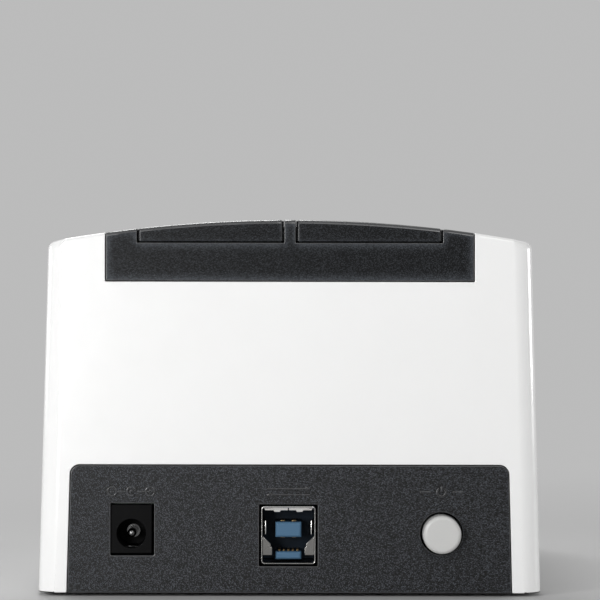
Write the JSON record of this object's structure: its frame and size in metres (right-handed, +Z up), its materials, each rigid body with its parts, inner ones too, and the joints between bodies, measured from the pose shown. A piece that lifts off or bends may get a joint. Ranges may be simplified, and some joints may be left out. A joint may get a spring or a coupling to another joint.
{
  "type": "hard drive docking station",
  "caption": "Arch-topped desktop dock with side-by-side upright drive bays under sprung flaps, a grained rear panel with power inlet, USB socket and push button.",
  "frame": {"origin": "on the table, under the middle of the overall box", "axes": "+Z up; front of the dock towards -Y and the rear panel with its sockets towards +Y; +X to the right of a user at the front"},
  "size_m": [0.111, 0.139, 0.0828],
  "materials": {
    "white_shell": "high gloss white moulding",
    "black_satin": "satin black moulding",
    "black_grained": "coarse spark-eroded grain",
    "black_base": "fine matt grain",
    "black_moulding": "plain moulded black",
    "grey_button": "light grey semi-gloss",
    "natural_plastic": "natural white plastic",
    "blue_plastic": "moulded blue",
    "clear_plastic": "clear frosted plastic",
    "green_board": "green solder mask",
    "plated_steel": "bright nickel plating",
    "spring_steel": "drawn steel",
    "contact_gold": "gold-plated contacts",
    "can_aluminium": "drawn can",
    "foot_rubber": "matt black"
  },
  "bodies": {
    "dock": {"upper_housing": "white_shell", "top_bezel": "black_satin", "left_drive_well": "black_satin", "right_drive_well": "black_satin", "left_flap_pin": "spring_steel", "right_flap_pin": "spring_steel", "left_flap_spring": "spring_steel", "right_flap_spring": "spring_steel", "rear_panel": "black_grained", "base_plate": "black_base", "rubber_feet": "foot_rubber", "base_screws": "spring_steel", "main_board": "green_board", "board_screws": "spring_steel", "well_screws": "spring_steel", "left_sata_socket": "black_moulding", "right_sata_socket": "black_moulding", "sata_contacts": "contact_gold", "usb_shell": "plated_steel", "usb_insulator": "blue_plastic", "usb_contacts": "contact_gold", "dc_jack_body": "black_moulding", "dc_jack_pin": "plated_steel", "dc_jack_leaf": "plated_steel", "power_switch": "black_moulding", "light_pipe": "clear_plastic", "status_leds": "natural_plastic", "bridge_chip": "black_moulding", "filter_capacitors": "can_aluminium", "power_inductors": "black_moulding", "clock_crystal": "plated_steel"},
    "right_flap": {"right_flap": "black_satin"},
    "left_flap": {"left_flap": "black_satin"},
    "power_button": {"power_button": "grey_button", "switch_plunger": "natural_plastic"}
  },
  "joints": [
    {"name": "right_flap_hinge", "type": "hinge", "parent": "dock", "child": "right_flap", "pos_m": [0.0038, 0, 0.08005], "axis": [0, 1, 0], "range_deg": [0, 88], "stiffness_Nm_per_rad": 0.004, "springref_deg": -68.75, "deforming": ["right_flap_spring"]},
    {"name": "left_flap_hinge", "type": "hinge", "parent": "dock", "child": "left_flap", "pos_m": [-0.0038, 0, 0.08005], "axis": [0, -1, 0], "range_deg": [0, 88], "stiffness_Nm_per_rad": 0.004, "springref_deg": -68.75, "deforming": ["left_flap_spring"]},
    {"name": "power_button_press", "type": "slide", "parent": "dock", "child": "power_button", "axis": [0, -1, 0], "range_m": [0, 0.0025], "stiffness_N_per_m": 350, "springref_m": -0.006}
  ]
}
